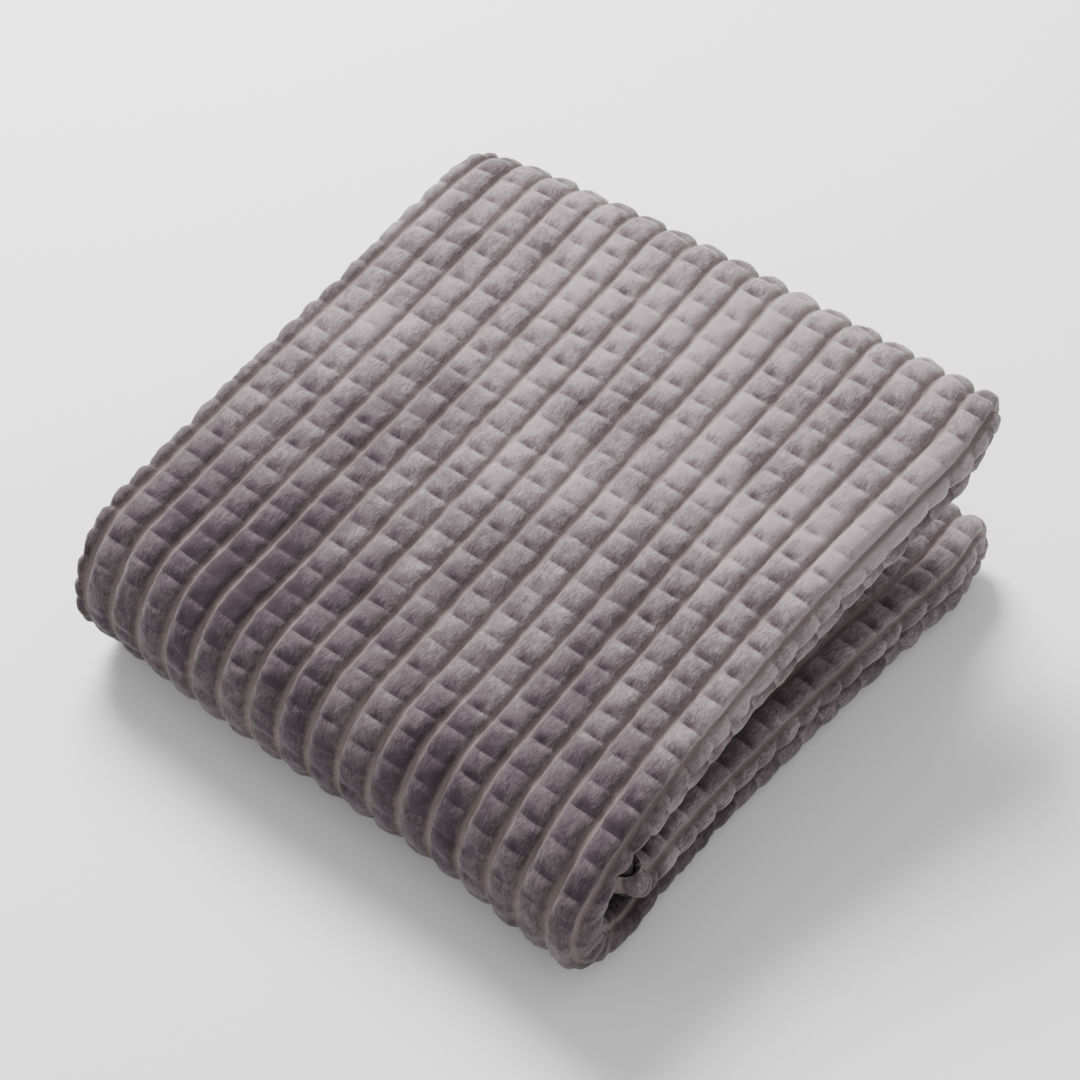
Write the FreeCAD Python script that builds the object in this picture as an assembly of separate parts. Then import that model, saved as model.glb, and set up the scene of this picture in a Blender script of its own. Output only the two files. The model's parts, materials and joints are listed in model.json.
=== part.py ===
import FreeCAD, Part
import math
import os

# A fleece throw with carved pile, folded for storage. All sizes are in millimetres.
#
# The throw is one rectangular panel. It is folded in four across its width, which makes a
# strip four plies thick: an outer sleeve (two plies joined by the closed fold at +X) around a
# core (two plies joined by a fold inside the sleeve's). Along its length both ends of the
# strip are folded in to its middle, and then the strip is closed like a book. From one free
# end to the other it runs
#
#     upper_inner_leaf -> upper_back_fold -> upper_outer_leaf -> front_fold
#     -> lower_outer_leaf -> lower_back_fold -> lower_inner_leaf -> lower_inner_curl
#
# The free ends lie inside the front fold, where the lower one curls up. Both long hems lie
# along -X, inside the folds, and the fold that joins sleeve and core covers them. The upper
# half slopes up from the front fold, whose spring keeps the stack open at the back.
#
# Origin: middle of the footprint, on the surface the throw lies on. +X is the closed side
# fold, -Y the rounded front fold, +Z up.

# ---- driving sizes ----
folded_width = 322.0      # across the strip, from the hems to the closed fold
ply = 4.8                 # one layer of fleece with its pile
ply_gap = 0.25            # air between the plies of a leaf
leaf_gap = 0.3            # air between two leaves that lie on each other
inner_radius = 6.4        # of the hollow inside the lower free end's curl
inner_setback = 15.0      # from the front fold's centre to the curl's
curl_turn = 100.0         # how far the lower free end curls up, degrees
rise = 12.0               # slope of the upper half, degrees
lower_run = 255.0         # flat stretch of the lower outer leaf
upper_run = 266.0         # flat stretch of the upper outer leaf
upper_end_setback = 17.0  # from the front fold's centre to the upper free end
hem_width = 12.0          # turned and sewn edge
core_hem_step = 3.0       # how far the core's hem lies inside the sleeve's
thread = 0.8              # sewing thread
body_gap = 0.3            # between the upper half and the folds that join it
hinge_lift = 0.6          # keeps the opened upper half just off the surface
label_length = 22.0       # care label, along the strip
label_width = 32.0
label_thickness = 0.8     # two layers of satin tape
label_from_side = 40.0    # from the strip's left edge

# ---- what follows from them ----
leaf = 4 * ply + 3 * ply_gap
middle = leaf / 2
turn_outside = ply + ply_gap / 2    # outside radius of the folds inside a leaf
turn_inside = ply_gap / 2
left_edge = -folded_width / 2
right_turn = folded_width / 2 - middle       # centre of the closed fold at +X
left_turn = left_edge + turn_outside         # centre of the fold that joins sleeve and core
left_turn_height = leaf - turn_outside
sleeve_start = left_edge + hem_width           # inner edge of the sleeve's hem
core_start = sleeve_start + core_hem_step
pair = 2 * leaf + leaf_gap                   # two leaves lying on each other
back_radius = pair / 2
slope = math.radians(rise)
half_slope = slope / 2
front_radius = inner_radius + pair - inner_setback * math.sin(half_slope)
front_turn = 180.0 - rise
inner_run_shift = inner_setback * math.cos(half_slope)
upper_depth = (front_radius + back_radius + upper_run * math.cos(slope)
               - (front_radius - back_radius) * math.sin(slope))
lower_depth = front_radius + lower_run + back_radius
depth = max(upper_depth, lower_depth)
front_centre_y = front_radius - depth / 2

# The hinge lies on the front fold's outermost line, midway between the two halves' pile
# faces, so the fold keeps its length about it and the opened upper half lies level.
hinge_y = front_centre_y - front_radius * math.cos(half_slope)
hinge_z = front_radius - front_radius * math.sin(half_slope) + hinge_lift / 2


class Station:
    """The strip's cross-section somewhere along the strip.

    (y, z) is on the pile face, the face that shows on the folded throw. The angle, in degrees
    in the Y-Z plane, points from there into the leaf. The strip runs on at 90 degrees less.
    """

    def __init__(self, y, z, angle):
        self.y = y
        self.z = z
        self.angle = angle

    def direction(self, offset=0.0):
        turned = math.radians(self.angle + offset)
        return FreeCAD.Vector(0, math.cos(turned), math.sin(turned))

    def point(self, x, into):
        return FreeCAD.Vector(x, self.y, self.z) + self.direction() * into


class Run:
    """A straight stretch of the strip."""

    def __init__(self, start, length):
        self.start = start
        self.length = length

    def station(self, along):
        place = self.start.point(0, 0) + self.start.direction(-90) * along
        return Station(place.y, place.z, self.start.angle)

    def solid(self, section, begin, end):
        face = section(self.station(begin))
        return face.extrude(self.start.direction(-90) * (end - begin))


class Turn:
    """A fold. A positive radius is the pile face's own, on the outside of the fold. With a
    negative one the pile face is inside. Lengths run along the middle of the leaf."""

    def __init__(self, start, radius, degrees):
        self.start = start
        self.radius = radius
        self.length = math.radians(degrees) * abs(radius - middle)

    def turned(self, along):
        return math.degrees(along / (self.radius - middle))

    def station(self, along):
        angle = self.start.angle + self.turned(along)
        centre = self.start.point(0, self.radius)
        place = centre - Station(0, 0, angle).point(0, self.radius)
        return Station(place.y, place.z, angle)

    def solid(self, section, begin, end):
        face = section(self.station(begin))
        centre = self.start.point(0, self.radius)
        return face.revolve(centre, FreeCAD.Vector(1, 0, 0), self.turned(end - begin))


def section_face(station, moves):
    """A face across the strip. A move is the next corner, or an arc's middle and its end.

    Corners are given as x and the height over the leaf's hidden face.
    """
    def point(corner):
        x, height = corner
        return station.point(x, leaf - height)

    here = point(moves[0][0])
    edges = []
    for move in moves[1:] + [[moves[0][0]]]:
        end = point(move[-1])
        if len(move) == 2:
            edges.append(Part.Arc(here, point(move[0]), end).toShape())
        else:
            edges.append(Part.LineSegment(here, end).toShape())
        here = end
    return Part.Face(Part.Wire(edges))


def sleeve_section(station):
    """The hidden ply, the closed fold at +X and the ply whose pile shows."""
    inside = middle - ply
    return section_face(station, [
        [(sleeve_start, 0)],
        [(right_turn, 0)],
        [(right_turn + middle, middle), (right_turn, leaf)],
        [(left_turn, leaf)],
        [(left_turn, leaf - ply)],
        [(right_turn, leaf - ply)],
        [(right_turn + inside, middle), (right_turn, ply)],
        [(sleeve_start, ply)],
    ])


def core_section(station):
    """The fold that joins the sleeve at -X, and the two inner plies with their closed fold."""
    low = middle - turn_outside
    return section_face(station, [
        [(core_start, low)],
        [(right_turn, low)],
        [(right_turn + turn_outside, middle), (right_turn, middle + turn_outside)],
        [(left_turn, middle + turn_outside)],
        [(left_turn - turn_inside, left_turn_height), (left_turn, left_turn_height + turn_inside)],
        [(left_turn, leaf)],
        [(left_edge, left_turn_height), (left_turn, middle + turn_inside)],
        [(right_turn, middle + turn_inside)],
        [(right_turn + turn_inside, middle), (right_turn, middle - turn_inside)],
        [(core_start, middle - turn_inside)],
    ])


def hem_section(station, outside, inside, low):
    """A turned edge, rounded where the cloth is folded back."""
    radius = ply / 2
    return section_face(station, [
        [(inside, low)],
        [(inside, low + ply)],
        [(outside + radius, low + ply)],
        [(outside, low + radius), (outside + radius, low)],
    ])


def sleeve_hem_section(station):
    return hem_section(station, left_edge, sleeve_start - thread, 0.0)


def core_hem_section(station):
    outside = left_edge + core_hem_step
    return hem_section(station, outside, core_start - thread, middle - turn_outside)


def stitch_section(station, inside, low):
    """A line of thread, through the cloth beside the hem."""
    return section_face(station, [
        [(inside - thread, low)],
        [(inside, low)],
        [(inside, low + ply)],
        [(inside - thread, low + ply)],
    ])


def sleeve_stitch_section(station):
    return stitch_section(station, sleeve_start, 0.0)


def core_stitch_section(station):
    return stitch_section(station, core_start, middle - turn_outside)


def save(node, *solids):
    shape = solids[0] if len(solids) == 1 else Part.makeCompound(list(solids))
    shape.exportStep("parts/" + node + ".step")


def save_stretch(name, stretch, begin=0.0, end=None):
    """One stretch of the strip, as its sleeve, core, two hems and their stitching."""
    end = stretch.length if end is None else end

    def sweep(section):
        return stretch.solid(section, begin, end)

    save(name + "_sleeve", sweep(sleeve_section))
    save(name + "_core", sweep(core_section))
    save(name + "_sleeve_hem", sweep(sleeve_hem_section))
    save(name + "_core_hem", sweep(core_hem_section))
    save(name + "_stitching", sweep(sleeve_stitch_section), sweep(core_stitch_section))
    return stretch.station(stretch.length)


def save_end(name, stretch, hem, stitches):
    """A free end's short hem with its corners, and the stitching between it and the leaf.

    hem and stitches are each the stretch of the strip, from and to, that they take up.
    """
    corner = (min(hem + stitches), max(hem + stitches))
    sleeve_sections = (sleeve_section, sleeve_hem_section)
    core_sections = (core_section, core_hem_section)
    side_sections = (sleeve_stitch_section, core_stitch_section)
    save(name + "_hem", *[stretch.solid(section, *hem) for section in sleeve_sections])
    save(name + "_core_hem", *[stretch.solid(section, *hem) for section in core_sections])
    save(name + "_stitching",
         *[stretch.solid(section, *stitches) for section in sleeve_sections + core_sections],
         *[stretch.solid(section, *corner) for section in side_sections])


def save_label(stretch):
    """A blank folded tape, sewn flat onto the pile face over the free end's hem."""
    left = left_edge + label_from_side

    def tape_section(station):
        return section_face(station, [
            [(left, leaf)],
            [(left + label_width, leaf)],
            [(left + label_width, leaf + label_thickness)],
            [(left, leaf + label_thickness)],
        ])

    begin = hem_width / 2
    save("care_label", stretch.solid(tape_section, begin, begin + label_length))


os.makedirs("parts", exist_ok=True)

top_of_fold = Station(front_centre_y - front_radius * math.sin(slope),
                      front_radius + front_radius * math.cos(slope), rise - 90.0)
upper_outer = Run(Run(top_of_fold, 0).station(-upper_run), upper_run)
back_start = upper_outer.start.point(0, 2 * back_radius)
upper_inner_run = upper_run - upper_end_setback
upper_inner = Run(Station(back_start.y, back_start.z, rise + 90.0), upper_inner_run)
upper_inner.start = upper_inner.station(-upper_inner_run)

hem_end = hem_width - thread
save_end("upper_inner_end", upper_inner, (0.0, hem_end), (hem_end, hem_width))
save_label(upper_inner)
here = save_stretch("upper_inner_leaf", upper_inner, begin=hem_width)
here = save_stretch("upper_back_fold", Turn(here, back_radius, 180.0))
here = save_stretch("upper_outer_leaf", Run(here, upper_run))
here = save_stretch("front_fold", Turn(here, front_radius, front_turn), begin=body_gap)
here = save_stretch("lower_outer_leaf", Run(here, lower_run))
here = save_stretch("lower_back_fold", Turn(here, back_radius, 180.0))
here = save_stretch("lower_inner_leaf", Run(here, lower_run - inner_run_shift))
curl = Turn(here, -inner_radius, curl_turn)
hem_begin = curl.length - hem_end
save_stretch("lower_inner_curl", curl, end=hem_begin - thread)
save_end("lower_inner_end", curl, (hem_begin, curl.length), (hem_begin - thread, hem_begin))

print("depth %.2f  hinge y %.3f z %.3f  front radius %.2f  leaf %.2f"
      % (depth, hinge_y, hinge_z, front_radius, leaf))
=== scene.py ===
import bpy
import json
import math
import numpy as np
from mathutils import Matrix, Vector

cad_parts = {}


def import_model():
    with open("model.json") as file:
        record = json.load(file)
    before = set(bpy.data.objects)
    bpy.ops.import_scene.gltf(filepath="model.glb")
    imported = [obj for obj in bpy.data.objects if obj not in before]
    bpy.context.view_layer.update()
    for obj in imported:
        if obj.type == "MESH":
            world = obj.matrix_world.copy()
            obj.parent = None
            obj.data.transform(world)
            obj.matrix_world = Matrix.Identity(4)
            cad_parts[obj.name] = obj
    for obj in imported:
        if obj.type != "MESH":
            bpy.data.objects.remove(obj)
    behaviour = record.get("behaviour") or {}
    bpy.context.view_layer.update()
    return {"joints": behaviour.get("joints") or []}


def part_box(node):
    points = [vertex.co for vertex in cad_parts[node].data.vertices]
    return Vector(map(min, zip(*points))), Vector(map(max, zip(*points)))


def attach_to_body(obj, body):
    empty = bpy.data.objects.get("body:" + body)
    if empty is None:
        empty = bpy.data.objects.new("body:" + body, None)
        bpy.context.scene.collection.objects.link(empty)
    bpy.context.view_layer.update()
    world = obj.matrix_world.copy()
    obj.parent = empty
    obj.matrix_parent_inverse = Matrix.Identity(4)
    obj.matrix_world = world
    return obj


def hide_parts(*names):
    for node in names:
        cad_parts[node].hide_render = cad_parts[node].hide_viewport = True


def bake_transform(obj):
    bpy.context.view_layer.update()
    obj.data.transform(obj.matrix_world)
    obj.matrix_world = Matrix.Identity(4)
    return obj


# The folded throw as it looks: fleece with carved pile, hems, thread and a label, built along
# the same folded strip as the CAD part and bent between the two halves at the front fold.

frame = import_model()

X, Y, Z = 0, 1, 2


def span(axis, *nodes):
    """Lowest and highest coordinate of CAD nodes along an axis."""
    boxes = [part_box(node) for node in nodes]
    return min(box[0][axis] for box in boxes), max(box[1][axis] for box in boxes)


# ---- sizes taken from the CAD part, in metres ----
LEAF = span(Z, "lower_outer_leaf_sleeve")[1]
FRONT_Y, BACK_Y = span(Y, "lower_outer_leaf_sleeve")
LEFT, RIGHT_EDGE = span(X, "lower_outer_leaf_sleeve")
LEFT_EDGE = span(X, "lower_outer_leaf_core")[0]
FRONT_RADIUS = FRONT_Y - span(Y, "front_fold_sleeve")[0]
BACK_RADIUS = span(Y, "lower_back_fold_sleeve")[1] - BACK_Y
CURL_Y = span(Y, "lower_inner_leaf_sleeve")[0]
CURL_OUTSIDE = CURL_Y - span(Y, "lower_inner_end_hem", "lower_inner_curl_sleeve")[0]
CURL_Z = 2 * BACK_RADIUS + CURL_OUTSIDE - LEAF
CURL_TURN = math.pi / 2 + math.asin((span(Z, "lower_inner_end_hem")[1] - CURL_Z) / CURL_OUTSIDE)
SLOPE = math.pi - math.radians(frame["joints"][0]["range_deg"][1])
PLY = span(Z, "lower_outer_leaf_sleeve_hem")[1] - span(Z, "lower_outer_leaf_sleeve_hem")[0]
HEM_LEFT, HEM_RIGHT = span(X, "lower_outer_leaf_sleeve_hem")
CORE_HEM_LEFT, CORE_HEM_RIGHT = span(X, "lower_outer_leaf_core_hem")
SLEEVE_START = span(X, "lower_outer_leaf_stitching")[0]
THREAD = 0.0008
HEM_WIDTH = HEM_RIGHT + THREAD - HEM_LEFT


def sloped_length(*nodes):
    """Length of a sloped leaf, from its extent in depth."""
    low, high = span(Y, *nodes)
    return (high - low - LEAF * math.sin(SLOPE)) / math.cos(SLOPE)


UPPER_RUN = sloped_length("upper_outer_leaf_sleeve")
UPPER_INNER_RUN = sloped_length("upper_inner_leaf_sleeve", "upper_inner_end_hem")
LOWER_RUN = BACK_Y - FRONT_Y
LOWER_INNER_RUN = BACK_Y - CURL_Y
MIDDLE = LEAF / 2
RIGHT = RIGHT_EDGE - MIDDLE
TURN = LEFT - LEFT_EDGE

# ---- the carved pile ----
RIB = 0.0184              # from groove to groove
COARSE_RIB_SHARE = 0.97   # the hidden ribs are fitted to the rest of the width
ROW = 0.0154              # wished length of a block along its rib
PILE = 0.0048             # from a groove's bottom to a block's top
HIDDEN_PILE = 0.0030      # where leaves press on each other
PROUD = 0.0015            # how far the tops stand out of the CAD face
GROOVE = 0.0010           # half width of a groove's flat bottom
RAGGED = (0.5, 1.1, 0.0045, 3.7)   # least share of that, its play, and the play's noise
RIB_FLANK = 2.6           # how square a rib is across, at its flanks
RIB_CROWN = 0.62          # and at its crown
CUT_SHIFT = 0.0022        # how far the cuts lie along the strip from an even grid
CUT_WANDER = 0.0015       # and how far each wanders from that
CUT_BEFORE = 0.0042       # how far a cut slopes in the block before it
CUT_AFTER = 0.0023        # and in the block after it
CUT_SLOPE = 1.5           # how sudden those slopes are
CUT_DEPTH = (0.14, 0.34)  # least depth of a cut as a share of the pile, and its play
CUT_SIDES = (0.28, 0.72, 1.5)      # a cut's depth at the rib's flanks, and its rise and bow inwards
PILE_LUMPS = ((0.26, 0.0085, 2.2), (0.16, 0.0032, 5.5))
LUMP_LEVEL = 0.6
DIMPLE_WIDTH = 0.17       # of the painted shade in the dimple before a cut, as a share of the rib
DIMPLE_LENGTH = 0.0035
DIMPLE_PLAY = 0.22        # how far it lies off the rib's middle
# how dark the painted shade in the dimple is
DIMPLE_STRENGTH = (0.35, 0.65)
SHADE_BEFORE = 0.0085     # how far the pile darkens before a cut
SHADE_AFTER = 0.005       # and lightens after it
LIGHT_SHARE = 0.6
GROOVE_EDGE = (0.55, 0.45)         # the rib height where a groove's colour ends, and its fade
NAP_AND_SHADE_BEND = 2.5          # how unevenly the nap and its painted shade change along a stretch
SEAM_STEP = 4             # the coarse inner grid takes every fourth sample
RIB_SAMPLES = 16
COARSE_RIB_SAMPLES = 8
ROW_SAMPLES = 12
RIB_CROWDING = 0.09       # samples crowd towards the grooves
ROW_CROWDING = 0.06       # and towards the cuts
FINE_RIBS = 20            # ribs sampled finely, up to just past the closed side fold
CORE_LUMPS = ((-0.0006, 0.006, 8.8),)
CORE_COLUMNS = 96         # samples across the core's plain cloth
CORE_ROWS = 8             # and along it in each row
END_LENGTH = 0.75         # length of a free end's rounding, as a share of the ply

rng = np.random.default_rng(48)
TABLE_SIZE = 256
GRAIN = rng.random((TABLE_SIZE, TABLE_SIZE))
WANDER, DEPTH, TONE, ASIDE = rng.random((4, 64, 128))     # for each rib and each cut


def smooth(t):
    t = np.clip(t, 0.0, 1.0)
    return t * t * (3 - 2 * t)


def mix(a, b, t):
    return a + (b - a) * t


def noise(u, v, size, shift=0.0):
    """Smooth value noise from 0 to 1, with lumps of about the given size."""
    p = np.asarray(u) / size + shift + 60.0
    q = np.asarray(v) / size + 1.7 * shift + 60.0
    i = np.floor(p).astype(int)
    j = np.floor(q).astype(int)
    s = smooth(p - i)
    t = smooth(q - j)

    def grain(di, dj):
        return GRAIN[(i + di) % TABLE_SIZE, (j + dj) % TABLE_SIZE]

    return mix(mix(grain(0, 0), grain(1, 0), s), mix(grain(0, 1), grain(1, 1), s), t)


def waves(u, v, layers):
    """A sum of noises, each with its strength, its size and its place in the table."""
    return sum(strength * noise(u, v, size, shift) for strength, size, shift in layers)


class Stretch:
    """One stretch of the strip, straight or turning, with v its length on the outer side.

    proud, lift, tuck and the nap with its painted shade each have a value at its start and one at
    its end.
    """

    first_row = 0
    walked = 0.0

    def __init__(self, name, start, length, radius=None, body="lower_half", proud=(PROUD, PROUD),
                 inner_swell=0.0, lift=(0.0, 0.0), tuck=(0.0, 0.0), nose=None,
                 brush=(0.42, 0.42)):
        self.name = name
        self.y, self.z, self.angle = start
        self.length = length
        self.radius = radius
        self.body = body
        self.proud = proud
        self.inner_swell = inner_swell
        self.lift = lift
        self.tuck = tuck
        self.nose = nose
        self.brush = brush
        self.following = None
        self.rows = max(1, round(length / ROW))
        self.row0 = Stretch.first_row
        self.v0 = Stretch.walked
        Stretch.first_row += self.rows
        Stretch.walked += length

    def outer_radius(self):
        return self.radius if self.radius > 0 else LEAF - self.radius

    def angle_at(self, v):
        if self.radius is None:
            return self.angle + 0.0 * v
        return self.angle + math.copysign(1, self.radius) * v / self.outer_radius()

    def place(self, v, x, depth):
        """Points at length v, across at x and at a depth under the pile face."""
        v, x, depth = np.broadcast_arrays(v, x, depth)
        points = self.place_inside(v, x, depth)
        beyond = v > self.length
        if self.following is not None and beyond.any():
            over = np.maximum(v - self.length, 0)
            ahead = self.following.place_inside(over, x, depth)
            points = np.where(beyond[..., None], ahead, points)
        return points

    def place_inside(self, v, x, depth):
        angle = self.angle_at(v)
        if self.radius is None:
            y = self.y + math.sin(self.angle) * v + math.cos(self.angle) * depth
            z = self.z - math.cos(self.angle) * v + math.sin(self.angle) * depth
        else:
            y = self.y + math.cos(self.angle) * self.radius - np.cos(angle) * (self.radius - depth)
            z = self.z + math.sin(self.angle) * self.radius - np.sin(angle) * (self.radius - depth)
        share = smooth(v / self.length)
        tuck = mix(self.tuck[0], self.tuck[1], share)
        x = x - tuck * fade_in(x, RIGHT_EDGE - TUCK_WIDTH, RIGHT_EDGE)
        return settle(np.stack([x, y, z], -1), mix(self.lift[0], self.lift[1], share))

    def end(self):
        v = self.length
        angle = float(self.angle_at(v))
        if self.radius is None:
            return (self.y + math.sin(self.angle) * v, self.z - math.cos(self.angle) * v, angle)
        y = self.y + (math.cos(self.angle) - math.cos(angle)) * self.radius
        z = self.z + (math.sin(self.angle) - math.sin(angle)) * self.radius
        return (y, z, angle)

    def middle_length(self):
        if self.radius is None:
            return self.length
        return self.length * abs(self.radius - MIDDLE) / self.outer_radius()


# ---- how the folded cloth settles ----
SIDE_DROOP = 0.003        # of the upper half's right edge
SIDE_DROOP_WIDTH = 0.055
FRONT_DROOP_SHARE = 0.25  # what is left of the droop at the front fold
LEFT_SINK = 0.012         # of the upper half's back left corner
RIGHT_RISE = 0.005        # and how far its back right corner rises, up to the limit below
HIGHEST_RISE = -0.0006    # keeps the opened half off the floor
SOFT_LIMIT = 0.002        # rounds the bend at that limit
SAGS = ((0.004, 0.11, 3.3), (0.0016, 0.045, 7.1))
CORNER = 0.005            # how far the corners are rounded in plan
CORNER_LENGTH = 0.045
SWAYS = ((0.004, 0.09, 1.9),)      # sideways wander of the ribs
FRONT_PULL = 0.006        # how far the front left corner is pulled back
FRONT_PULL_LENGTH = 0.05
SHEAR = 0.008             # sideways, from the front to the back
LOWER_REACH = 0.013       # how far the lower half's right back corner reaches out
LOWER_SQUEEZE = 0.004     # and how far it is drawn in
HALF_WIDTH = RIGHT_EDGE
RIGHT_BOW = 0.009         # how far the right side bows inwards
TUCK = 0.004              # how far the upper inner leaf's right edge is drawn in
TUCK_WIDTH = 0.050
CORNER_REACH = 0.009      # how far the front right corner reaches forward
BACK_PULL = 0.004         # how far the back left corner is drawn forward
BACK_PULL_ACROSS = 0.6    # and the share of that by which it is drawn in
ACROSS_LIGHTENING = 0.05       # the pile is coloured lighter towards the right


def fade_in(value, start, end):
    """0 before start, 1 past end and smooth between them."""
    return smooth((value - start) / (end - start))


def sinking(x, y, across, along):
    """How the upper half hangs: tilted, with a drooping right edge, sagging, under a limit."""
    droop = SIDE_DROOP * fade_in(x, HALF_WIDTH - SIDE_DROOP_WIDTH, HALF_WIDTH)
    droop = droop * mix(FRONT_DROOP_SHARE, 1.0, fade_in(along, 0, 0.4))
    tilt = np.where(across < 0, LEFT_SINK, RIGHT_RISE) * across * along
    sag = waves(x, y, SAGS) * fade_in(along, -0.2, 0.4 / 3)
    rise = tilt - droop - sag - HIGHEST_RISE
    return HIGHEST_RISE - 0.5 * (np.sqrt(rise ** 2 + SOFT_LIMIT ** 2) - rise)


def settle(points, lift):
    """Moves points as the soft stack settles. lift is 1 in the upper half and 0 in the lower."""
    x, y, z = points[..., 0], points[..., 1], points[..., 2]
    across = x / HALF_WIDTH
    along = np.clip((y - FRONT_Y) / (BACK_Y - FRONT_Y), -0.2, 1.2)
    right = smooth(across) ** 2
    back = fade_in(y, BACK_Y + BACK_RADIUS - CORNER_LENGTH, BACK_Y + BACK_RADIUS)
    front = fade_in(-y, FRONT_RADIUS - FRONT_Y - CORNER_LENGTH, FRONT_RADIUS - FRONT_Y)
    left_front = (smooth(-across) ** 2
                  * fade_in(-y, -FRONT_Y - FRONT_PULL_LENGTH, FRONT_RADIUS - FRONT_Y))
    left_back = fade_in(-across, 0.72, 1) * fade_in(along, 0.8 / 1.8, 1)
    lower_back = (1 - lift) * smooth(along) * fade_in(across, -1, 1)

    squeeze = CORNER * (back + 0.5 * front) * across ** 5 + LOWER_SQUEEZE * lower_back
    bow = RIGHT_BOW * right * np.sin(np.pi * np.clip(along + 0.1, 0, 1) ** 0.75)
    sway = waves(y, z, SWAYS) - 0.5 * SWAYS[0][0]
    sway = sway * mix(1.0, 0.4, np.abs(across)) + SHEAR * (along - 0.5)
    x_new = x - squeeze - bow + sway + BACK_PULL_ACROSS * BACK_PULL * left_back
    y_new = y + FRONT_PULL * left_front + LOWER_REACH * lower_back
    y_new = y_new - CORNER_REACH * front * right - BACK_PULL * left_back
    z_new = z + lift * sinking(x, y, across, along)
    return np.stack([x_new, y_new, z_new], -1)


class Outline:
    """The outer side of folded plies in the strip's cross-section, with u its length."""

    def __init__(self, radius, end_x, with_left_fold):
        self.radius = radius
        self.fold = math.pi * TURN if with_left_fold else 0.0
        self.right = self.fold + RIGHT - LEFT
        self.under = self.right + math.pi * radius
        self.length = self.under + RIGHT - end_x

    def at(self, u):
        """x, depth and the outward direction there."""
        left = u / TURN
        right = (u - self.right) / self.radius
        parts = [u < self.fold, u < self.right, u < self.under]
        x = np.select(parts, [LEFT - TURN * np.sin(left), LEFT + u - self.fold,
                              RIGHT + self.radius * np.sin(right)], RIGHT - (u - self.under))
        depth = np.select(parts, [TURN + TURN * np.cos(left), 0 * u + MIDDLE - self.radius,
                                  MIDDLE - self.radius * np.cos(right)], MIDDLE + self.radius)
        out_x = np.select(parts, [-np.sin(left), 0 * u, np.sin(right)], 0.0)
        out_depth = np.select(parts, [np.cos(left), 0 * u - 1, -np.cos(right)], 1.0)
        return x, depth, out_x, out_depth

    def hidden(self, u):
        """0 where the pile is free and 1 where the leaves press on each other."""
        return fade_in(u, mix(self.right, self.under, 0.55), mix(self.right, self.under, 0.9))


SLEEVE = Outline(MIDDLE, SLEEVE_START, True)
CORE = Outline(TURN, CORE_HEM_RIGHT + THREAD, False)


def whole(place, count):
    """The number of the rib or row in which each place lies."""
    return np.minimum(np.floor(place + 1e-9).astype(int), count - 1)


def rib_grid(outline):
    """Samples across the ribs: lengths u, rib numbers and places within the rib from 0 to 1."""
    fine_end = FINE_RIBS * RIB
    coarse_ribs = round((outline.length - fine_end) / RIB)
    fine = np.arange(FINE_RIBS * RIB_SAMPLES) / RIB_SAMPLES
    coarse = FINE_RIBS + np.arange(coarse_ribs * COARSE_RIB_SAMPLES + 1) / COARSE_RIB_SAMPLES
    place = np.concatenate([fine, coarse])
    number = whole(place, FINE_RIBS + coarse_ribs)
    inside = place - number
    crowded = inside - RIB_CROWDING * np.sin(2 * np.pi * inside)
    crowded = np.where(number < FINE_RIBS, crowded, inside)
    starts = np.concatenate([np.arange(FINE_RIBS) * RIB,
                             np.linspace(fine_end, outline.length, coarse_ribs + 1)])
    u = starts[number] + crowded * (starts[number + 1] - starts[number])
    return u, number, crowded


def row_grid(stretch):
    """Samples along the rows: row numbers and places within the row from 0 to 1."""
    place = np.arange(stretch.rows * ROW_SAMPLES + 1) / ROW_SAMPLES
    number = whole(place, stretch.rows)
    inside = place - number
    return number, inside - ROW_CROWDING * np.sin(2 * np.pi * inside)


def end_rounding(stretch, v):
    """0 at a free end and 1 once the ply has its thickness."""
    if stretch.nose is None:
        return np.ones_like(v)
    away = v if stretch.nose == "start" else stretch.length - v
    t = np.clip(away / (END_LENGTH * PLY), 0, 1)
    return np.sqrt(1 - (1 - t) ** 2)


def nap_and_shade_along(stretch, share):
    """How light the pile is, from its nap and from painted shade that darkens it towards the front
    fold. It darkens late along a stretch and lightens early.
    """
    start, end = stretch.brush
    if end < start:
        return mix(start, end, share ** NAP_AND_SHADE_BEND)
    return mix(end, start, (1 - share) ** NAP_AND_SHADE_BEND)


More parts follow.
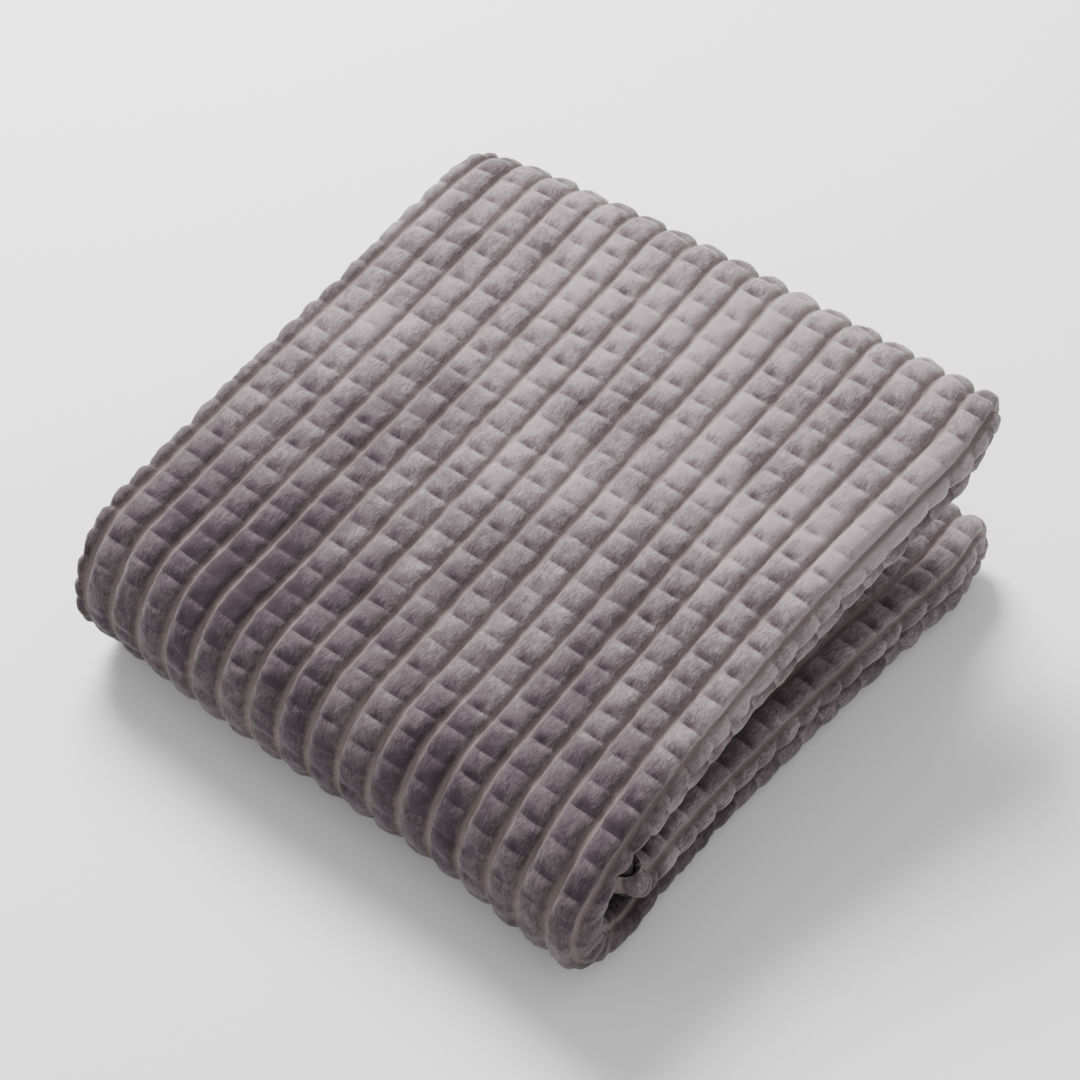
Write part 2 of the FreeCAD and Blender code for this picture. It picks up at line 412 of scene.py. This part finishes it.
class Blocks:
    """The carved blocks of one stretch, as a grid of samples along and across the strip."""

    def __init__(self, stretch, outline):
        u, rib, a = rib_grid(outline)
        row, b = row_grid(stretch)
        self.u, self.rib, self.a = u[None, :], rib[None, :], a[None, :]
        row, b = row[:, None], b[:, None]
        self.cut = stretch.row0 + row
        pitch = stretch.length / stretch.rows
        self.to_next, self.from_last = (1 - b) * pitch, b * pitch
        self.arch = 1 - (2 * self.a - 1) ** 2
        plateau = 1 - (2 * self.a - 1) ** 6
        self.v = (row + b) * pitch + mix(self.cut_shift(0), self.cut_shift(1), b) * plateau
        self.along = stretch.v0 + self.v
        self.share = np.clip(self.v / stretch.length, 0, 1)

    def chance(self, table, side):
        """A random number for the cut before each sample (side 0) or after it (side 1)."""
        return table[self.rib, self.cut + side]

    def cut_shift(self, side):
        """Neighbouring ribs' cuts aren't level with each other, except at the free ends."""
        cut = self.cut + side
        free_end = (cut == 0) | (cut == Stretch.first_row)
        shift = CUT_SHIFT + CUT_WANDER * (2 * self.chance(WANDER, side) - 1)
        return np.where(free_end, 0, shift)

    def rib_height(self):
        """0 in the grooves and 1 on the crowns, before the cuts."""
        least, play, size, shift = RAGGED
        width = np.where(self.rib < FINE_RIBS, RIB, RIB * COARSE_RIB_SHARE)
        groove = GROOVE * (least + play * noise(self.u, self.along, size, shift))
        from_groove = np.minimum(self.a, 1 - self.a) * width - groove
        edge = np.clip(from_groove / (width / 2 - groove), 0, 1)
        return (1 - (1 - edge) ** RIB_FLANK) ** RIB_CROWN

    def height(self, rib_height):
        """The pile's height as a share of the pile, with its cuts and lumps."""
        least, play = CUT_DEPTH
        before = np.exp(-(self.to_next / CUT_BEFORE) ** CUT_SLOPE)
        after = np.exp(-(self.from_last / CUT_AFTER) ** CUT_SLOPE)
        cuts = np.maximum((least + play * self.chance(DEPTH, 1)) * before,
                          (least + play * self.chance(DEPTH, 0)) * after)
        flank, rise, bow = CUT_SIDES
        cuts = cuts * (flank + rise * self.arch ** bow)
        level = LUMP_LEVEL * sum(strength for strength, _, _ in PILE_LUMPS)
        lumps = waves(self.u, self.along, PILE_LUMPS) - level
        return np.clip(rib_height * (1 - cuts + lumps), 0, 1)

    def dimple_shade(self):
        """Painted shade in the dimple before each cut."""
        aside = 0.5 + DIMPLE_PLAY * (self.chance(ASIDE, 1) - 0.5)
        least, play = DIMPLE_STRENGTH
        strength = least + play * self.chance(DEPTH, 1)
        return (strength * np.exp(-((self.a - aside) / DIMPLE_WIDTH) ** 2)
                * np.exp(-(self.to_next / DIMPLE_LENGTH) ** 2))

    def fields(self, stretch, rib_height, x):
        """The values that colour the pile."""
        darker = smooth(1 - self.to_next / SHADE_BEFORE)
        lighter = smooth(1 - self.from_last / SHADE_AFTER)
        edge, fade = GROOVE_EDGE
        fields = {
            "groove": smooth((edge - rib_height) / fade),
            # painted shade before each cut and painted light after it
            "shade": (darker - LIGHT_SHARE * lighter) * self.arch,
            # painted shade in the dimple before each cut
            "dimple_shade": self.dimple_shade(),
            "block": self.chance(TONE, 0),
            # nap with painted shade: darker towards the front fold, lighter towards the right
            "brush": nap_and_shade_along(stretch, self.share) + ACROSS_LIGHTENING * x / HALF_WIDTH,
        }
        return {name: np.broadcast_to(value, self.v.shape) for name, value in fields.items()}


def carve(stretch, outline):
    """The carved outer side: its points, and the fields that colour it."""
    blocks = Blocks(stretch, outline)
    rib_height = blocks.rib_height()
    hidden = outline.hidden(blocks.u)
    proud = mix(stretch.proud[0], stretch.proud[1], smooth(blocks.share))
    swell = stretch.inner_swell * np.sin(np.pi * blocks.share) ** 2
    pile = mix(PILE, HIDDEN_PILE, hidden)
    offset = mix(proud, swell, hidden) - pile * (1 - blocks.height(rib_height))
    offset = mix(-PLY / 2, offset, end_rounding(stretch, blocks.v))

    x, depth, out_x, out_depth = outline.at(blocks.u)
    points = stretch.place(blocks.v, x + out_x * offset, depth + out_depth * offset)
    grid_u = np.broadcast_to(blocks.u, blocks.v.shape)
    strip = np.stack([grid_u, blocks.along, np.zeros_like(blocks.v)], -1)
    return points, blocks.fields(stretch, rib_height, x), strip


def inner_side(stretch, outline, thickness, u, v):
    x, depth, out_x, out_depth = outline.at(u[None, :])
    inset = mix(PLY / 2, thickness, end_rounding(stretch, v[:, None]))
    return stretch.place(v[:, None], x - out_x * inset, depth - out_depth * inset)


def grid_faces(rows, columns, first=0):
    """Quads of a grid of points that is numbered row by row."""
    index = first + np.arange(rows * columns).reshape(rows, columns)
    quads = np.stack([index[:-1, :-1], index[:-1, 1:], index[1:, 1:], index[1:, :-1]], -1)
    return quads.reshape(-1, 4)


def closing_faces(fine, coarse, flip):
    """Faces that join a fine edge to a coarse one."""
    step = (len(fine) - 1) // (len(coarse) - 1)
    faces = []
    for k in range(len(coarse) - 1):
        face = [*fine[k * step:(k + 1) * step + 1], coarse[k + 1], coarse[k]]
        faces.append(face[::-1] if flip else face)
    return faces


def build(name, points, faces, flat_from, material, fields=None, strip=None):
    """A mesh object. Faces from number flat_from on are its flat end caps."""
    mesh = bpy.data.meshes.new(name)
    mesh.from_pydata(points.tolist(), [], [list(map(int, face)) for face in faces])
    smooth_faces = np.ones(len(mesh.polygons), bool)
    smooth_faces[flat_from:] = False
    mesh.polygons.foreach_set("use_smooth", smooth_faces)
    corner_edges = np.zeros(len(mesh.loops), np.int32)
    mesh.loops.foreach_get("edge_index", corner_edges)
    sharp = np.zeros(len(mesh.edges), bool)
    sharp[corner_edges[mesh.polygons[flat_from].loop_start:]] = True
    mesh.edges.foreach_set("use_edge_sharp", sharp)
    for key, values in (fields or {}).items():
        attribute = mesh.attributes.new(key, "FLOAT", "POINT")
        attribute.data.foreach_set("value", values.astype(np.float32))
    if strip is not None:
        attribute = mesh.attributes.new("strip", "FLOAT_VECTOR", "POINT")
        attribute.data.foreach_set("vector", strip.astype(np.float32).ravel())
    mesh.materials.append(material)
    mesh.update()
    piece = bpy.data.objects.new(name, mesh)
    bpy.context.scene.collection.objects.link(piece)
    return piece


def slab(name, outer, inner, material, fields, strip):
    """A closed slab of cloth from the grids of its outer and its inner side."""
    rows, columns = outer.shape[:2]
    inner_rows, inner_columns = inner.shape[:2]
    first = rows * columns
    out = np.arange(first).reshape(rows, columns)
    ins = first + np.arange(inner_rows * inner_columns).reshape(inner_rows, inner_columns)
    faces = grid_faces(rows, columns).tolist()
    faces += grid_faces(inner_rows, inner_columns, first)[:, ::-1].tolist()
    flat_from = len(faces)
    faces += closing_faces(out[0], ins[0], True)
    faces += closing_faces(out[-1], ins[-1], False)
    faces += closing_faces(out[:, 0], ins[:, 0], False)
    faces += closing_faces(out[:, -1], ins[:, -1], True)
    points = np.concatenate([outer.reshape(-1, 3), inner.reshape(-1, 3)])
    step = (rows - 1) // (inner_rows - 1), (columns - 1) // (inner_columns - 1)

    def both(values):
        return np.concatenate([values.reshape(first, -1),
                               values[::step[0], ::step[1]].reshape(ins.size, -1)])

    fields = {key: both(values).ravel() for key, values in fields.items()}
    return build(name, points, faces, flat_from, material, fields, both(strip))


def sleeve_cloth(stretch, material):
    outer, fields, strip = carve(stretch, SLEEVE)
    u = rib_grid(SLEEVE)[0][::SEAM_STEP]
    row, b = row_grid(stretch)
    v = ((row + b) * stretch.length / stretch.rows)[::SEAM_STEP]
    inner = inner_side(stretch, SLEEVE, PLY, u, v)
    return slab(stretch.name + "_sleeve_cloth", outer, inner, material, fields, strip)


def core_cloth(stretch, material):
    u = np.linspace(0, CORE.length, CORE_COLUMNS + 1)
    v = np.linspace(0, stretch.length, CORE_ROWS * stretch.rows + 1)
    grid_u, grid_v = np.meshgrid(u, v)
    x, depth, out_x, out_depth = CORE.at(grid_u)
    lumps = waves(grid_u, grid_v + stretch.v0, CORE_LUMPS)
    lumps = mix(-PLY / 2, lumps, end_rounding(stretch, grid_v))
    outer = stretch.place(grid_v, x + out_x * lumps, depth + out_depth * lumps)
    inner = inner_side(stretch, CORE, PLY, u[::SEAM_STEP], v[::SEAM_STEP])
    plain = np.zeros_like(grid_u)
    fields = {"groove": plain, "shade": plain, "dimple_shade": plain, "block": plain + 0.5,
              "brush": plain + 0.4}
    strip = np.stack([grid_u, grid_v + stretch.v0, plain], -1)
    return slab(stretch.name + "_core_cloth", outer, inner, material, fields, strip)


def ring_piece(name, rings, material, strip=None):
    """A closed piece from rings of points, one ring after another along it."""
    rows, columns = rings.shape[:2]
    index = np.arange(rows * columns).reshape(rows, columns)
    around = np.concatenate([index, index[:, :1]], 1)
    quads = np.stack([around[:-1, :-1], around[:-1, 1:], around[1:, 1:], around[1:, :-1]], -1)
    faces = quads.reshape(-1, 4).tolist()
    flat_from = len(faces)
    faces += [index[0][::-1].tolist(), index[-1].tolist()]
    return build(name, rings.reshape(-1, 3), faces, flat_from, material, None, strip)


HEM_TURN = 8              # steps round a hem's edge
HEM_FLAT = 4              # and along each of its flat sides
HEM_SAMPLES = 9           # along the hem in each row
HEM_SWELL = (-0.22, 0.004, 4.4)    # how the hem's thickness varies
HEM_WANDER = (0.0012, 0.012, 6.6)  # and how far its edge wanders in
HEM_OUT = 0.00024         # from this far outside the CAD part's edge


def hem_ring(outside, inside, low):
    """Points around a turned edge in the cross-section, with x and depth."""
    radius = PLY / 2
    turn = np.linspace(0, math.pi, HEM_TURN + 1)
    flat = np.linspace(inside, outside + radius, HEM_FLAT + 1)[:-1]
    x = np.concatenate([flat, outside + radius - radius * np.sin(turn), flat[::-1]])
    height = np.concatenate([np.full(HEM_FLAT, low), low + radius - radius * np.cos(turn),
                             np.full(HEM_FLAT, low + PLY)])
    return x, LEAF - height


def hem(stretch, name, outside, inside, low, material):
    x, depth = hem_ring(outside, inside, low)
    v = np.linspace(0, stretch.length, HEM_SAMPLES * stretch.rows + 1)[:, None]
    along = stretch.v0 + v
    x, depth = x[None, :] + 0 * v, depth[None, :] + 0 * v
    middle = LEAF - low - PLY / 2
    depth = middle + (depth - middle) * (1 + waves(x + depth, along, (HEM_SWELL,)))
    x = x + waves(along, 0 * v, (HEM_WANDER,)) - HEM_OUT
    strip = np.stack([x + depth, along + 0 * x, 0 * x], -1).reshape(-1, 3)
    return ring_piece(name, stretch.place(v, x, depth), material, strip)


STITCH = 0.0036
STITCH_RADIUS = 0.00045
STITCH_SAMPLES = 4        # along each stitch
THREAD_SIDES = 6
THREAD_SUNK = 0.0012      # from the CAD part's face inwards, at the free ends
THREAD_INSET = 0.002      # from the cloth's edges
CORE_LOW = MIDDLE - TURN


def stitch_radius(count, share):
    """The thread's radius along a row of stitches, thin where it dips into the cloth."""
    return STITCH_RADIUS * (0.35 + 0.65 * np.abs(np.sin(np.pi * count * share)))


def thread_turn():
    """Angles round a thread."""
    return np.linspace(0, 2 * math.pi, THREAD_SIDES + 1)[None, :-1]


def side_thread(stretch, name, x, low, material):
    """A row of stitches along the strip, on the hem's outer side."""
    count = max(2, round(stretch.length / STITCH))
    v = np.linspace(0, stretch.length, count * STITCH_SAMPLES + 1)[:, None]
    radius = stitch_radius(count, v / stretch.length)
    turn = thread_turn()
    rings = stretch.place(v, x + radius * np.cos(turn), LEAF - low - radius * np.sin(turn))
    return ring_piece(name, rings, material)


def cross_thread(stretch, name, outline, v_at, material):
    """A row of stitches across the strip, sunk in the pile beside the end's hem."""
    count = round(outline.length / STITCH)
    u = np.linspace(THREAD_INSET, outline.length - THREAD_INSET, count * STITCH_SAMPLES + 1)
    u = u[:, None]
    radius = stitch_radius(count, u / outline.length)
    turn = thread_turn()
    x, depth, out_x, out_depth = outline.at(u)
    offset = radius * np.sin(turn) - THREAD_SUNK
    rings = stretch.place(v_at + radius * np.cos(turn), x + out_x * offset,
                          depth + out_depth * offset)
    return ring_piece(name, rings, material)


# ---- materials ----
def socket(node, name, value):
    node.inputs[name].default_value = value


class Look:
    """A material under construction."""

    def __init__(self, name, roughness, sheen, sheen_colour):
        self.material = bpy.data.materials.new(name)
        self.material.use_nodes = True
        self.nodes = self.material.node_tree.nodes
        self.links = self.material.node_tree.links
        self.shader = self.nodes["Principled BSDF"]
        socket(self.shader, "Roughness", roughness)
        socket(self.shader, "Sheen Weight", sheen)
        socket(self.shader, "Sheen Roughness", 0.42)
        socket(self.shader, "Sheen Tint", sheen_colour)
        socket(self.shader, "Specular IOR Level", 0.12)

    def add(self, kind, **settings):
        node = self.nodes.new("ShaderNode" + kind)
        for key, value in settings.items():
            setattr(node, key, value)
        return node

    def link(self, source, target):
        self.links.new(source, target)

    def attribute(self, name):
        return self.add("Attribute", attribute_name=name)

    def maths(self, operation, a, b):
        node = self.add("Math", operation=operation)
        for index, value in enumerate((a, b)):
            if isinstance(value, (int, float)):
                node.inputs[index].default_value = value
            else:
                self.link(value, node.inputs[index])
        return node.outputs[0]

    def ramp(self, value, low, high, to_low=0.0, to_high=1.0):
        node = self.add("MapRange", interpolation_type="SMOOTHSTEP")
        self.link(value, node.inputs["Value"])
        for name, number in (("From Min", low), ("From Max", high),
                             ("To Min", to_low), ("To Max", to_high)):
            socket(node, name, number)
        return node.outputs[0]

    def noise(self, scale, detail, stretched, roughness=0.6, distortion=0.0):
        """Noise over the strip's own coordinates, so the grain follows the cloth."""
        place = self.add("Mapping")
        socket(place, "Scale", stretched)
        self.link(self.attribute("strip").outputs["Vector"], place.inputs["Vector"])
        node = self.add("TexNoise")
        self.link(place.outputs[0], node.inputs["Vector"])
        socket(node, "Scale", scale)
        socket(node, "Detail", detail)
        socket(node, "Roughness", roughness)
        socket(node, "Distortion", distortion)
        return node.outputs["Fac"]

    def mix_colour(self, factor, a, b, blend="MIX"):
        node = self.add("Mix", data_type="RGBA", blend_type=blend)
        if isinstance(factor, (int, float)):
            node.inputs[0].default_value = factor
        else:
            self.link(factor, node.inputs[0])
        for index, value in ((6, a), (7, b)):
            if isinstance(value, tuple):
                node.inputs[index].default_value = value
            else:
                self.link(value, node.inputs[index])
        return node.outputs[2]

    def bump(self, height, strength, distance):
        node = self.add("Bump")
        socket(node, "Strength", strength)
        socket(node, "Distance", distance)
        self.link(height, node.inputs["Height"])
        self.link(node.outputs[0], self.shader.inputs["Normal"])


PILE_DARK = (0.040, 0.028, 0.034, 1)     # pile seen end on, also the dark end of the painted shade
PILE_MID = (0.112, 0.088, 0.097, 1)
PILE_LIGHT = (0.310, 0.262, 0.276, 1)    # pile brushed flat, also the light end of the painted light and shade
GROOVE_COLOUR = (0.225, 0.184, 0.168, 1)
SHEEN_COLOUR = (0.90, 0.83, 0.86, 1)
THREAD_DARK = (0.080, 0.066, 0.072, 1)
THREAD_LIGHT = (0.160, 0.138, 0.146, 1)
TAPE_DARK = (0.72, 0.71, 0.69, 1)
TAPE_LIGHT = (0.84, 0.83, 0.81, 1)
WHITE = (1, 1, 1, 1)
GROOVE_SHARE = 0.8        # how much of the groove's colour shows
DARK_TO_MID = (0.05, 0.42)         # tone, from the nap and painted light and shade, from which and to which the colour changes
MID_TO_LIGHT = (0.34, 0.78)


def fleece_look():
    """Carved velvety pile: brushed patches, painted shade before the cuts and towards the front
    fold, painted light after the cuts, and beige grooves.
    """
    look = Look("carved_fleece", 0.85, 0.28, SHEEN_COLOUR)
    brushed = look.noise(17, 3, (1.0, 0.8, 1), 0.55, 0.5)
    tufts = look.noise(95, 3, (1.0, 0.8, 1), 0.6, 0.6)
    fibres = look.noise(820, 2, (1.0, 0.35, 1), 0.55, 1.2)
    fields = {name: look.attribute(name).outputs["Fac"]
              for name in ("block", "shade", "dimple_shade", "groove", "brush")}
    # each value, its share in the tone (nap with painted light and shade) and the level at which it
    # changes nothing
    shares = [(brushed, 0.90, 0.5), (tufts, 0.34, 0.5), (fibres, 0.62, 0.5),
              (fields["block"], 0.05, 0.5), (fields["shade"], -0.11, 0.0),
              (fields["dimple_shade"], -0.26, 0.0)]
    tone_and_shade = fields["brush"]
    for value, share, level in shares:
        shift = look.maths("MULTIPLY", look.maths("SUBTRACT", value, level), share)
        tone_and_shade = look.maths("ADD", tone_and_shade, shift)
    dark = look.mix_colour(look.ramp(tone_and_shade, *DARK_TO_MID), PILE_DARK, PILE_MID)
    pile = look.mix_colour(look.ramp(tone_and_shade, *MID_TO_LIGHT), dark, PILE_LIGHT)
    in_groove = look.maths("MULTIPLY", fields["groove"], GROOVE_SHARE)
    colour = look.mix_colour(in_groove, pile, GROOVE_COLOUR)
    look.link(colour, look.shader.inputs["Base Color"])
    look.link(look.ramp(fibres, 0.3, 0.7, 0.72, 0.95), look.shader.inputs["Roughness"])
    heights = look.maths("ADD", look.maths("MULTIPLY", tufts, 0.6), fibres)
    look.bump(heights, 0.6, 0.0008)
    return look.material


def hem_look():
    """The turned edge, with its pile pressed flat."""
    look = Look("pressed_hem", 0.9, 0.4, SHEEN_COLOUR)
    tufts = look.noise(110, 3, (1.0, 0.5, 1), 0.65)
    fibres = look.noise(620, 3, (1.0, 0.45, 1), 0.7)
    colour = look.mix_colour(look.ramp(tufts, 0.3, 0.7), PILE_DARK, PILE_MID)
    look.link(colour, look.shader.inputs["Base Color"])
    look.link(look.ramp(fibres, 0.3, 0.7, 0.75, 0.95), look.shader.inputs["Roughness"])
    look.bump(look.maths("ADD", tufts, fibres), 0.5, 0.0006)
    return look.material


def thread_look():
    look = Look("sewing_thread", 0.6, 0.2, SHEEN_COLOUR)
    twist = look.add("TexNoise")
    socket(twist, "Scale", 900)
    colour = look.mix_colour(twist.outputs["Fac"], THREAD_DARK, THREAD_LIGHT)
    look.link(colour, look.shader.inputs["Base Color"])
    look.link(look.ramp(twist.outputs["Fac"], 0.3, 0.7, 0.5, 0.7), look.shader.inputs["Roughness"])
    return look.material


def label_look():
    """Blank satin tape with a fine weave."""
    look = Look("satin_tape", 0.35, 0.2, WHITE)
    weave = look.add("TexWave", bands_direction="DIAGONAL")
    socket(weave, "Scale", 600)
    socket(weave, "Distortion", 0.6)
    fleck = look.add("TexNoise")
    socket(fleck, "Scale", 300)
    colour = look.mix_colour(fleck.outputs["Fac"], TAPE_DARK, TAPE_LIGHT)
    look.link(colour, look.shader.inputs["Base Color"])
    look.link(look.ramp(fleck.outputs["Fac"], 0.2, 0.8, 0.28, 0.45), look.shader.inputs["Roughness"])
    look.bump(weave.outputs["Fac"], 0.3, 0.0001)
    return look.material


FLEECE = fleece_look()
HEM = hem_look()
SEWING = thread_look()
TAPE = label_look()


# ---- the strip, from one free end to the other ----
def back_along(station, length):
    y, z, angle = station
    return (y - math.sin(angle) * length, z + math.cos(angle) * length, angle)


def upper_start():
    """Where the strip's upper free end starts."""
    top = (FRONT_Y - FRONT_RADIUS * math.sin(SLOPE), FRONT_RADIUS * (1 + math.cos(SLOPE)),
           SLOPE - math.pi / 2)
    y, z, angle = back_along(top, UPPER_RUN)
    behind = (y + math.cos(angle) * 2 * BACK_RADIUS, z + math.sin(angle) * 2 * BACK_RADIUS,
              angle + math.pi)
    return back_along(behind, UPPER_INNER_RUN)


FRONT_SWELL = 0.005       # how far the pile swells on the front fold's inner side
CURL_PROUD = 0.003        # how far the tops stand out where the curl meets its hem


def lay_out():
    upper = {"body": "upper_half", "lift": (1.0, 1.0)}
    inner = dict(upper, tuck=(TUCK, TUCK))
    # painted shade: the pile darkens towards the front fold and is darkest on it
    top = dict(upper, brush=(0.63, 0.22))
    curl_length = CURL_TURN * CURL_OUTSIDE
    end_share = HEM_WIDTH / (CURL_TURN * (CURL_OUTSIDE - MIDDLE))
    hollow = CURL_OUTSIDE - LEAF
    plan = [
        ("upper_inner_end", HEM_WIDTH, None, dict(inner, nose="start")),
        ("upper_inner_leaf", UPPER_INNER_RUN - HEM_WIDTH, None, inner),
        ("upper_back_fold", math.pi * BACK_RADIUS, BACK_RADIUS,
         dict(upper, tuck=(TUCK, 0.0), brush=(0.42, 0.63))),
        ("upper_outer_leaf", UPPER_RUN, None, top),
        ("front_fold", (math.pi - SLOPE) * FRONT_RADIUS, FRONT_RADIUS,
         {"proud": (PROUD, 0.0), "inner_swell": FRONT_SWELL, "lift": (1.0, 0.0),
          "brush": (0.22, 0.04)}),
        ("lower_outer_leaf", LOWER_RUN, None, {"proud": (0.0, 0.0), "brush": (0.04, 0.42)}),
        ("lower_back_fold", math.pi * BACK_RADIUS, BACK_RADIUS, {"proud": (0.0, PROUD)}),
        ("lower_inner_leaf", LOWER_INNER_RUN, None, {}),
        ("lower_inner_curl", curl_length * (1 - end_share), -hollow,
         {"proud": (PROUD, CURL_PROUD)}),
        ("lower_inner_end", curl_length * end_share, -hollow,
         {"proud": (CURL_PROUD, 0.0), "nose": "end"}),
    ]
    here = upper_start()
    strip = []
    for name, length, radius, extras in plan:
        strip.append(Stretch(name, here, length, radius, **extras))
        here = strip[-1].end()
    for stretch, following in zip(strip, strip[1:]):
        stretch.following = following
    return strip


BLEND_START = 0.001       # above the lower leaf
BLEND_END = 0.012         # below the upper leaf


def ends_of(fold):
    """Two points at the front fold: above the lower seam, and below the upper one."""
    top = fold.place(np.zeros(1), np.zeros(1), np.full(1, LEAF))[0]
    return (0.0, FRONT_Y, LEAF + BLEND_START), (0.0, FRONT_Y, float(top[Z]) - BLEND_END)


def attach(piece, stretch):
    if stretch.name == "front_fold":
        ends_of(stretch)
        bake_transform(piece)
    else:
        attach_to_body(piece, stretch.body)


def dress(stretch):
    """All the pieces of one stretch."""
    name = stretch.name
    at_end = stretch.nose is not None
    sleeve = sleeve_cloth(stretch, FLEECE)
    core = core_cloth(stretch, FLEECE)
    side_hem = hem(stretch, name + "_side_hem", HEM_LEFT, HEM_RIGHT, 0.0, HEM)
    core_side_hem = hem(stretch, name + "_core_side_hem", CORE_HEM_LEFT, CORE_HEM_RIGHT,
                        CORE_LOW, HEM)
    threads = [
        side_thread(stretch, name + "_side_thread", SLEEVE_START - THREAD / 2, 0.0, SEWING),
        side_thread(stretch, name + "_core_thread", CORE_HEM_RIGHT + THREAD / 2, CORE_LOW, SEWING),
    ]
    if at_end:
        seam = stretch.length - THREAD if stretch.nose == "start" else THREAD
        threads.append(cross_thread(stretch, name + "_cross_thread", SLEEVE, seam, SEWING))
        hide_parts(name + "_hem")
        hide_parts(name + "_core_hem")
    else:
        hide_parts(name + "_sleeve")
        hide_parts(name + "_core")
        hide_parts(name + "_sleeve_hem")
        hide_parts(name + "_core_hem")
    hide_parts(name + "_stitching")
    for piece in (sleeve, core):
        attach(piece, stretch)
    for piece in (side_hem, core_side_hem):
        attach(piece, stretch)
    for piece in threads:
        attach(piece, stretch)
    length = stretch.middle_length()


LABEL_GAP = 0.0006        # from the pile's tops to the label
LABEL_WAVES = ((0.0005, 0.008, 9.1),)
LABEL_STEPS = (16, 12)    # across the label and along it


def care_label(end, leaf):
    """A blank tape lying on the pile face across the end's seam."""
    low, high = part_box("care_label")
    begin = HEM_WIDTH / 2
    length = ((high[1] - low[1]) - THREAD * math.sin(SLOPE)) / math.cos(SLOPE)
    x = np.linspace(low[0], high[0], LABEL_STEPS[0] + 1)[None, :]
    v = np.linspace(begin, begin + length, LABEL_STEPS[1] + 1)[:, None]
    above = PROUD + LABEL_GAP + waves(x, v, LABEL_WAVES)
    faces = [end.place(v, x + 0 * v, 0 * v - above - thickness)
             for thickness in (THREAD, 0.0)]
    strip = np.stack([x + 0 * v, v + 0 * x, 0 * (x + v)], -1)
    tape = slab("care_label_tape", faces[0], faces[1], TAPE, {}, strip)
    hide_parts("care_label")
    attach(tape, leaf)


stretches = lay_out()
for stretch in stretches:
    dress(stretch)
care_label(stretches[0], stretches[1])


# ---- floor, light and camera ----
def floor():
    mesh = bpy.data.meshes.new("floor")
    reach = 6.0
    mesh.from_pydata([(-reach, -reach, 0), (reach, -reach, 0), (reach, reach, 0),
                      (-reach, reach, 0)], [], [(0, 1, 2, 3)])
    look = Look("pale_floor", 0.9, 0.0, WHITE)
    socket(look.shader, "Base Color", WHITE)
    mesh.materials.append(look.material)
    plane = bpy.data.objects.new("floor", mesh)
    plane.location.z = -0.0005
    bpy.context.scene.collection.objects.link(plane)


def aim(thing, place, target):
    thing.location = place
    direction = Vector(target) - Vector(place)
    thing.rotation_euler = direction.to_track_quat("-Z", "Y").to_euler()
    bpy.context.scene.collection.objects.link(thing)


def area_light(name, place, size, power):
    light = bpy.data.lights.new(name, "AREA")
    light.size = size
    light.energy = power
    aim(bpy.data.objects.new(name, light), place, (0, 0, 0.06))


def world(strength):
    bpy.context.scene.world = bpy.data.worlds.new("studio")
    bpy.context.scene.world.use_nodes = True
    background = bpy.context.scene.world.node_tree.nodes["Background"]
    socket(background, "Color", WHITE)
    socket(background, "Strength", strength)


def camera(target, azimuth, elevation, distance, lens):
    data = bpy.data.cameras.new("camera")
    data.lens = lens
    data.sensor_width = 36.0
    a, e = math.radians(azimuth), math.radians(elevation)
    ahead = Vector((-math.sin(a) * math.cos(e), math.cos(a) * math.cos(e), -math.sin(e)))
    thing = bpy.data.objects.new("camera", data)
    aim(thing, Vector(target) - ahead * distance, target)
    bpy.context.scene.camera = thing


floor()
world(0.72)
area_light("key", (-1.0, 0.6, 1.3), 0.8, 70)
area_light("fill", (1.6, -1.4, 1.4), 1.6, 4)
camera((0.003, -0.001, 0.068), 38.1, 49.3, 1.615, 112.0)
